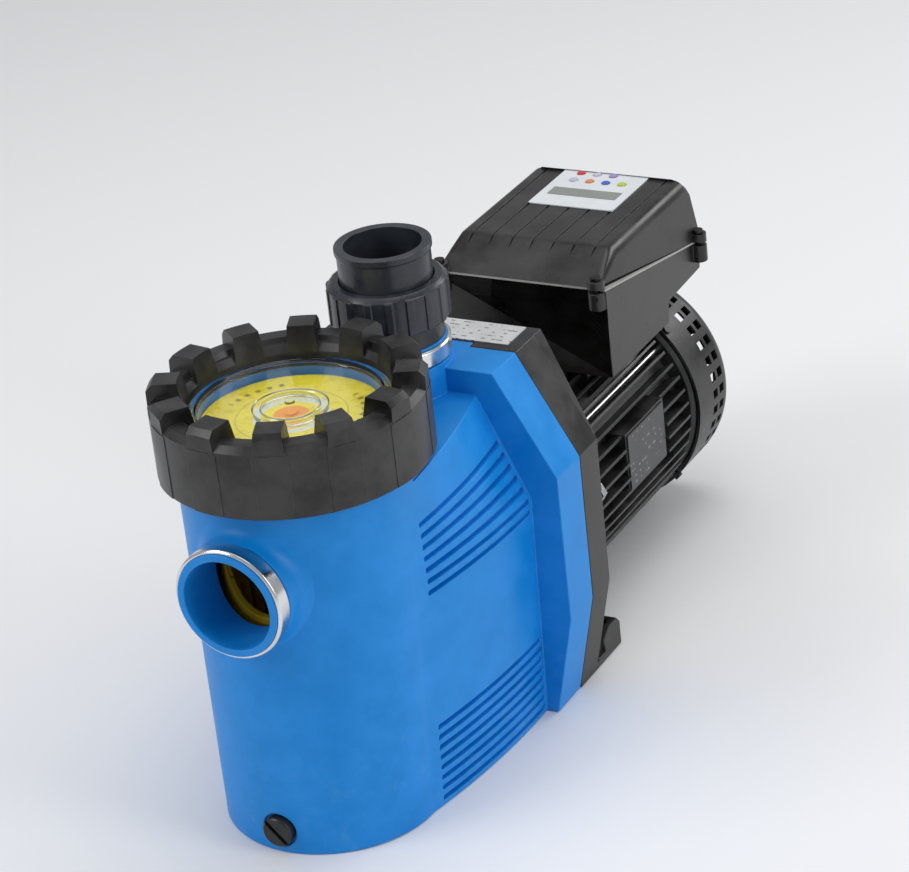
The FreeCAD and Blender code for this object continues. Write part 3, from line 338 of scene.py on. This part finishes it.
# %% Finish: blue plastic
blue = moulded("blue_casing", (0.0, 0.255, 0.74), 0.42, tint=0.10, grain=0.8, depth=0.02, patch=28,
               reach=1.2, wear=0.16, dust=0.06, cover=0.2, Specular_IOR_Level=0.3)
wiring = Wiring(blue.node_tree)
point = wiring.place()
low_down = wiring.spread(wiring.split(point)[2], 0.11, 0.0)
scuffs = wiring.spread(wiring.noise(point, 75.0, 8.0, 0.72), 0.50, 0.72)
overlay(blue, wiring.sum("MULTIPLY", wiring.sum("MULTIPLY", scuffs, low_down), 0.35), (0.10, 0.36, 0.72))
finishes["blue_plastic"] = blue
print("blue casing:", len(blue.node_tree.nodes), "nodes")

# %% [markdown]
# ## Black plastics and painted aluminium
# The lock ring, bracket and fan cover are black plastic with a fine moulded grain. The motor is
# cast aluminium under satin black paint, which is smoother and a little orange-peeled, and the
# drive box is a warmer black. The differences are small, but side by side they are what tells
# the pieces apart.

# %% Finishes: blacks
finishes["black_plastic"] = moulded("black_plastic", (0.0052, 0.0045, 0.0040), 0.36, tint=0.25,
                                    grain=0.7, depth=0.015, patch=30, wear=0.07, dust=0.03)
finishes["motor_black"] = moulded("motor_paint", (0.0035, 0.0035, 0.0038), 0.38, tint=0.2, grain=1.8,
                                  depth=0.03, patch=24, wear=0.08, dust=0.05, Coat_Weight=0.08,
                                  Coat_Roughness=0.35)
finishes["box_black"] = moulded("box_plastic", (0.0085, 0.0066, 0.0055), 0.32, tint=0.2, grain=1.1,
                                depth=0.018, patch=40, reach=1.4, wear=0.025, dust=0.04)
finishes["grey_pvc"] = moulded("dark_pvc", (0.016, 0.021, 0.030), 0.30, tint=0.15, grain=1.5,
                               depth=0.02, patch=30, wear=0.15, dust=0.05)
finishes["rubber"] = moulded("rubber", (0.014, 0.014, 0.014), 0.62, tint=0.2, grain=0.5, depth=0.02,
                             wear=0.05, dust=0.15)
finishes["carbon"] = moulded("carbon", (0.03, 0.03, 0.032), 0.42, tint=0.2, grain=0.3, depth=0.01)
# A pale grey strip fills the seam between the drive cover and its base.
finishes["gasket_grey"] = moulded("pale_seam_strip", (0.42, 0.42, 0.40), 0.5, tint=0.15, grain=0.7,
                                  depth=0.02, wear=0.0, dust=0.2)
print("blacks and rubbers:", [m.name for m in finishes.values()])

# %% [markdown]
# ## Metals
# Steel, brass and aluminium here are turned or polished pieces, so they carry the ring marks of
# the lathe. The marks only bend the reflections, through the bump, and break up the roughness.
# The two bands round the sockets are polished the brightest.

# %% Recipe and finishes: metals
suction_axis_height = 0.1875
pot_y = -0.1795
outlet_y = -0.0502
shaft_height = 0.0906
ALONG, UP = (0.0, 1.0, 0.0), (0.0, 0.0, 1.0)


def metal(name, colour, rough, centre, axis, pitch=0.5, depth=0.01, patch=12.0, **sockets):
    """Bare metal with ring marks round its axis."""
    material = bpy.data.materials.new(name)
    material.use_nodes = True
    wiring = Wiring(material.node_tree)
    shader = material.node_tree.nodes["Principled BSDF"]
    shader.inputs["Metallic"].default_value = 1.0
    for label, value in sockets.items():
        shader.inputs[label.replace("_", " ")].default_value = value
    rings = wiring.group("turned lines", **{"Centre": centre, "Axis": axis, "Pitch mm": pitch})["Height"]
    patches = wiring.group("moulded grain", **{"Patch mm": patch})["Patches"]
    bump = wiring.node("Bump")
    bump.inputs["Distance"].default_value = depth * MM
    wiring.feed(bump.inputs["Height"], rings)
    wiring.feed(shader.inputs["Normal"], bump.outputs[0])
    base = wiring.mix(patches, shade(colour, -0.12), shade(colour, 0.06))
    wiring.feed(shader.inputs["Base Color"], base)
    streaks = wiring.sum("ADD", wiring.sum("MULTIPLY", rings, 0.6), wiring.sum("MULTIPLY", patches, 0.4))
    wiring.feed(shader.inputs["Roughness"], wiring.spread(streaks, 0.2, 0.8, rough - 0.07, rough + 0.09))
    return material


steel = (0.62, 0.62, 0.61)
shaft_line = (0.0, 0.0, shaft_height)
finishes["steel"] = metal("steel", steel, 0.26, shaft_line, ALONG)
finishes["brass"] = metal("brass", (0.66, 0.45, 0.17), 0.3, shaft_line, ALONG)
finishes["copper"] = metal("winding_copper", (0.50, 0.20, 0.07), 0.38, shaft_line, ALONG,
                           pitch=0.9, depth=0.2)
finishes["aluminium"] = metal("aluminium", (0.52, 0.52, 0.53), 0.42, shaft_line, ALONG,
                              pitch=1.2, depth=0.03)
bright_steel = (0.78, 0.78, 0.78)
suction_steel = metal("band_steel_suction", bright_steel, 0.17, (0.0, 0.0, suction_axis_height),
                      ALONG, pitch=0.35, depth=0.006)
outlet_steel = metal("band_steel_outlet", bright_steel, 0.17, (0.0, outlet_y, 0.0), UP,
                     pitch=0.35, depth=0.006)
print("metals ready, bands with rings round", suction_axis_height, "and", outlet_y)

# %% [markdown]
# ## Yellow basket and printed disc
# The strainer basket is yellow plastic. Under the clear lid lies a round yellow card with the
# opening instructions. Its print is kept to plain marks: a pale ring, an orange middle and short
# strokes round the edge. Rings are masks on the distance from the middle, strokes are masks on
# the angle, so nothing needs a picture.

# %% Finishes: yellow
finishes["yellow_plastic"] = moulded("basket_yellow", (0.80, 0.50, 0.012), 0.38, tint=0.12, grain=0.7,
                                     depth=0.015, patch=25, wear=0.05)
disc = moulded("printed_disc", (0.84, 0.68, 0.03), 0.30, tint=0.10, grain=2.0, depth=0.02, patch=14,
               wear=0.0)
wiring = Wiring(disc.node_tree)


def band(wiring, value, low, high, soft):
    """1 between low and high, fading over the soft width outside them."""
    rise = wiring.spread(value, low - soft, low)
    return wiring.sum("MULTIPLY", rise, wiring.spread(value, high, high + soft, 1.0, 0.0))


arm = wiring.split(wiring.vector("SUBTRACT", wiring.place(), (0.0, pot_y, 0.0)))
out = wiring.sum("SQRT", wiring.sum("ADD", wiring.sum("MULTIPLY", arm[0], arm[0]),
                                    wiring.sum("MULTIPLY", arm[1], arm[1])))
angle = wiring.sum("ARCTAN2", arm[1], arm[0])
hair = 0.3 * MM
stroke_count = 36
overlay(disc, wiring.sum("MULTIPLY", band(wiring, out, 0.019, 0.024, hair), 0.85), (0.62, 0.66, 0.62))
overlay(disc, wiring.spread(out, 0.0115, 0.0105), (0.85, 0.30, 0.03))
strokes = wiring.sum("FRACT", wiring.sum("MULTIPLY", angle, stroke_count / math.tau))
strokes = wiring.sum("MULTIPLY", wiring.sum("GREATER_THAN", strokes, 0.62),
                     band(wiring, out, 0.043, 0.0465, hair))
arcs = wiring.sum("GREATER_THAN", wiring.sum("SINE", wiring.sum("MULTIPLY", angle, 3.0)), 0.1)
overlay(disc, wiring.sum("MULTIPLY", wiring.sum("MULTIPLY", strokes, arcs), 0.8), (0.08, 0.08, 0.07))
overlay(disc, wiring.sum("MULTIPLY", band(wiring, out, 0.0345, 0.0351, hair), 0.5), (0.20, 0.18, 0.05))
finishes["disc_yellow"] = disc
print("printed disc:", len(disc.node_tree.nodes), "nodes")

# %% [markdown]
# ## Clear lid
# The lid is thick clear plastic. A glass-like shader bends light rightly but throws a shadow as
# dark as a solid's, so for shadow rays alone the surface turns transparent, and the disc below
# stays bright. Fine scratches come from a stretched noise in the bump.

# %% Finish: clear plastic
clear = bpy.data.materials.new("clear_lid")
clear.use_nodes = True
wiring = Wiring(clear.node_tree)
shader = clear.node_tree.nodes["Principled BSDF"]
for label, value in (("Transmission Weight", 1.0), ("IOR", 1.45), ("Metallic", 0.0)):
    shader.inputs[label].default_value = value
scratches = wiring.noise(wiring.vector("MULTIPLY", wiring.place(), (900.0, 60.0, 60.0)), 1.0, 4.0, 0.7)
haze = wiring.group("moulded grain", **{"Grain mm": 2.5, "Patch mm": 22.0})
bump = wiring.node("Bump")
bump.inputs["Distance"].default_value = 0.012 * MM
marks = wiring.sum("ADD", haze["Height"], wiring.sum("MULTIPLY", scratches, 0.3))
wiring.feed(bump.inputs["Height"], marks)
wiring.feed(shader.inputs["Normal"], bump.outputs[0])
wiring.feed(shader.inputs["Roughness"], wiring.spread(haze["Patches"], 0.0, 1.0, 0.02, 0.07))
tinge = wiring.mix(haze["Patches"], (0.93, 0.97, 0.99, 1), (0.98, 0.99, 1, 1))
wiring.feed(shader.inputs["Base Color"], tinge)
see_through = wiring.node("BsdfTransparent", (0.9, 0.93, 0.95, 1))
blend = wiring.node("MixShader", wiring.node("LightPath").outputs["Is Shadow Ray"])
wiring.feed(blend.inputs[1], shader.outputs[0])
wiring.feed(blend.inputs[2], see_through.outputs[0])
wiring.feed(clear.node_tree.nodes["Material Output"].inputs["Surface"], blend.outputs[0])
finishes["clear"] = clear
print("clear lid:", len(clear.node_tree.nodes), "nodes")

# %% [markdown]
# ## Keypad, plates and small parts
# The keypad is a printed film: a white ground, coloured domes and a grey display strip. The
# plates on the bracket and the motor are blank save for a few plain bars, which stand for their
# print. All of them use the moulded recipe with little grain.

# %% Finishes: keypad and plates
film = dict(tint=0.05, grain=1.5, depth=0.006, patch=20, wear=0.0)
printed = {
    "panel_white": ((0.74, 0.77, 0.79), 0.28), "display_grey": ((0.26, 0.28, 0.25), 0.16),
    "key_red": ((0.62, 0.035, 0.04), 0.3), "key_pale": ((0.55, 0.54, 0.64), 0.3),
    "key_purple": ((0.36, 0.26, 0.55), 0.3), "key_orange": ((0.78, 0.26, 0.10), 0.3),
    "key_blue": ((0.05, 0.14, 0.52), 0.3), "key_green": ((0.50, 0.62, 0.06), 0.3),
    "ceramic": ((0.80, 0.78, 0.74), 0.15), "board_green": ((0.01, 0.13, 0.05), 0.3),
}
for slot_name, (colour, rough) in printed.items():
    label = slot_name + "_film" if "key" in slot_name else slot_name
    finishes[slot_name] = moulded(label, colour, rough, **film)
silver = moulded("label_silver", (0.76, 0.76, 0.75), 0.30, tint=0.1, grain=1.0, depth=0.008, patch=15,
                 wear=0.0, Metallic=0.2)
plate = moulded("nameplate", (0.055, 0.055, 0.058), 0.32, tint=0.15, grain=1.0, depth=0.008, patch=15,
                wear=0.0, Metallic=0.3)
rows_per_metre, bars_per_metre = 200.0, 260.0
for material, across, down, least, ink_colour in ((silver, 0, 1, 0.56, (0.10, 0.10, 0.10)),
                                                  (plate, 1, 2, 0.60, (0.30, 0.30, 0.29))):
    wiring = Wiring(material.node_tree)
    parts = wiring.split(wiring.place())
    line = wiring.sum("FRACT", wiring.sum("MULTIPLY", parts[down], rows_per_metre))
    row = wiring.sum("FLOOR", wiring.sum("MULTIPLY", parts[down], rows_per_metre))
    words = wiring.node("CombineXYZ", wiring.sum("MULTIPLY", parts[across], bars_per_metre),
                        wiring.sum("MULTIPLY", row, 7.3))
    bars = wiring.sum("GREATER_THAN", wiring.noise(words.outputs[0], 1.0, 1.0), least)
    ink = wiring.sum("MULTIPLY", bars, band(wiring, line, 0.42, 0.66, 0.05))
    overlay(material, wiring.sum("MULTIPLY", ink, 0.75), ink_colour)
finishes["label_silver"], finishes["nameplate"] = silver, plate
print(len(finishes), "finishes for", len(set(finish_of.values())), "slots")

# %% [markdown]
# ## Dressing the CAD pieces
# Every CAD piece first gets its own finish in place of the plain one. Pieces whose edges are
# sharp in the CAD and rounded in life are copied, their edges bevelled, and the copy stands in
# for the original. The bevel is a modifier: it needs clean faces, so the triangles of flat areas
# are merged first. Weighted normals then keep the flats flat beside the round edges. The fan
# cover keeps its CAD edges, because the bevel tears the thin bars of its grille.

# %% Finish on every CAD piece
for name, piece in frame["nodes"].items():
    piece.data.materials.clear()
    piece.data.materials.append(finishes[finish_of[name]])
frame["nodes"]["suction_ring"].data.materials[0] = suction_steel
frame["nodes"]["discharge_ring"].data.materials[0] = outlet_steel
dark_steel = metal("blackened_steel", (0.03, 0.03, 0.03), 0.38, shaft_line, ALONG)
for name in ("cover_screws", "fan_cover_screws", "motor_bolts"):
    frame["nodes"][name].data.materials[0] = dark_steel
print("dressed", len(frame["nodes"]), "CAD pieces")


# %% Rounded copies
def rounded_copy(name, width, segments=2, sharp=28, wide=None, wide_width=8.0, clamp=False):
    """A copy of a CAD piece with its edges rounded, standing for that piece.

    Widths are in millimetres. Edges that wide picks by their two end points get the wide width."""
    source = frame["nodes"][name]
    shape = bmesh.new()
    shape.from_mesh(source.data)
    bmesh.ops.remove_doubles(shape, verts=shape.verts, dist=0.002 * MM)
    bmesh.ops.dissolve_limit(shape, angle_limit=math.radians(0.4), verts=shape.verts, edges=shape.edges)
    for face in shape.faces:
        face.smooth = True
    if wide:
        weight = shape.edges.layers.float.new("bevel_weight_edge")
        for rim in shape.edges:
            turn = rim.calc_face_angle(0.0)
            if wide(rim.verts[0].co, rim.verts[1].co) and turn > math.radians(12):
                rim[weight] = 1.0
            elif turn > math.radians(sharp):
                rim[weight] = width / wide_width
    mesh = bpy.data.meshes.new(name + "_rounded")
    shape.to_mesh(mesh)
    shape.free()
    mesh.materials.append(source.data.materials[0])
    piece = bpy.data.objects.new(name + "_rounded", mesh)
    scene.collection.objects.link(piece)
    piece.matrix_world = source.matrix_world.copy()
    bevel = piece.modifiers.new("round edges", "BEVEL")
    bevel.width, bevel.segments = width * MM, segments
    if wide:
        bevel.width, bevel.segments, bevel.limit_method = wide_width * MM, 6, "WEIGHT"
    else:
        bevel.limit_method, bevel.angle_limit = "ANGLE", math.radians(sharp)
    bevel.use_clamp_overlap = clamp
    bevel.miter_outer = "MITER_SHARP" if clamp else "MITER_ARC"
    weighted = piece.modifiers.new("flat flats", "WEIGHTED_NORMAL")
    weighted.weight = 60
    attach(piece, body_of[name])
    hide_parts(name)
    return piece


edge_width = {
    "pump_housing": 0.8, "motor_bracket": 0.8, "lock_ring": 0.5, "drive_cover": 0.4, "drive_base": 0.8,
    "motor_frame": 0.35, "front_end_shield": 0.6, "rear_end_shield": 0.6,
    "union_nut": 0.6, "union_tail": 0.5, "union_insert": 0.3, "drain_plug": 0.4, "cable_glands": 0.4,
    "keypad_panel": 0.25, "strainer_basket": 0.3, "instruction_disc": 0.3, "lid": 0.6,
    "flange_bolts": 0.4, "motor_bolts": 0.4, "cover_screws": 0.4, "fan_cover_screws": 0.4,
    "suction_ring": 0.4, "discharge_ring": 0.4,
}
edge_width.update({key: 0.5 for key in body_of if key.endswith("_key")})
cover_side = 0.0565
panel_side = 0.0325


def cover_shoulder(start, end):
    """The long top edges of the drive cover, where its sides turn over into its roof."""
    return abs(start.x) > cover_side and abs(end.x) > cover_side and min(start.z, end.z) > 0.2385


def panel_corner(start, end):
    """The four short upright edges at the corners of the keypad plate."""
    upright = (start - end).xy.length < 0.2 * MM
    return upright and abs(start.x) > panel_side


wide_edges = {"drive_cover": (cover_shoulder, 8.0), "keypad_panel": (panel_corner, 4.0)}
copies = {}
for name, width in edge_width.items():
    wide, wide_width = wide_edges.get(name, (None, 0.0))
    copies[name] = rounded_copy(name, width, wide=wide, wide_width=wide_width, clamp=name == "lock_ring")
print("rounded", len(copies), "pieces; finest edge", min(edge_width.values()), "mm")

# %% [markdown]
# ## The root of the suction socket
# On the real casing the socket grows out of the pot in a soft hollow. A bevel can't make it,
# because the two walls cross in a curve with hundreds of short edges. So it is drawn as a strip
# of its own: at every angle round the socket a small curve runs from the socket's wall to the
# pot's wall, bending towards the line where the two meet.

# %% Socket fillet
socket_wall, pot_low, pot_high, pot_lean_top = 0.0366, 0.0715, 0.075, 0.229
hollow_reach, around, steps = 0.011, 120, 8
sunk = 0.1 * MM


def pot_radius(height):
    """The pot's outer radius, which grows a little towards the top."""
    return pot_low + (pot_high - pot_low) * min(height / pot_lean_top, 1.0)


fillet_mesh = bmesh.new()
rows = []
for n in range(around):
    turn = math.tau * n / around
    x, z = socket_wall * math.cos(turn), suction_axis_height + socket_wall * math.sin(turn)
    radius = pot_radius(z)
    corner = Vector((x, pot_y - math.sqrt(radius ** 2 - x ** 2), z))
    outward = Vector((x / radius, (corner.y - pot_y) / radius, 0))
    away = Vector((math.cos(turn), 0, math.sin(turn)))
    downhill = (away - outward * away.dot(outward)).normalized()
    start = corner - Vector((0, hollow_reach, 0)) - away * sunk
    end = corner + downhill * hollow_reach
    flat = Vector((end.x, end.y - pot_y, 0)).normalized() * (pot_radius(end.z) - sunk)
    end = Vector((flat.x, flat.y + pot_y, end.z))
    row = []
    for step in range(steps + 1):
        t = step / steps
        row.append(fillet_mesh.verts.new(start * (1 - t) ** 2 + corner * 2 * t * (1 - t) + end * t ** 2))
    rows.append(row)
for n in range(around):
    here, there = rows[n], rows[(n + 1) % around]
    for step in range(steps):
        face = fillet_mesh.faces.new((here[step], here[step + 1], there[step + 1], there[step]))
        face.smooth = True
bmesh.ops.recalc_face_normals(fillet_mesh, faces=fillet_mesh.faces)
mesh = bpy.data.meshes.new("socket_root")
fillet_mesh.to_mesh(mesh)
fillet_mesh.free()
mesh.materials.append(blue)
socket_root = bpy.data.objects.new("socket_root", mesh)
scene.collection.objects.link(socket_root)
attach(socket_root, "pump")
print("socket fillet:", len(mesh.polygons), "faces")

# %% [markdown]
# ## Finish
# The view layer is brought up to date.

# %% Finish
bpy.context.view_layer.update()
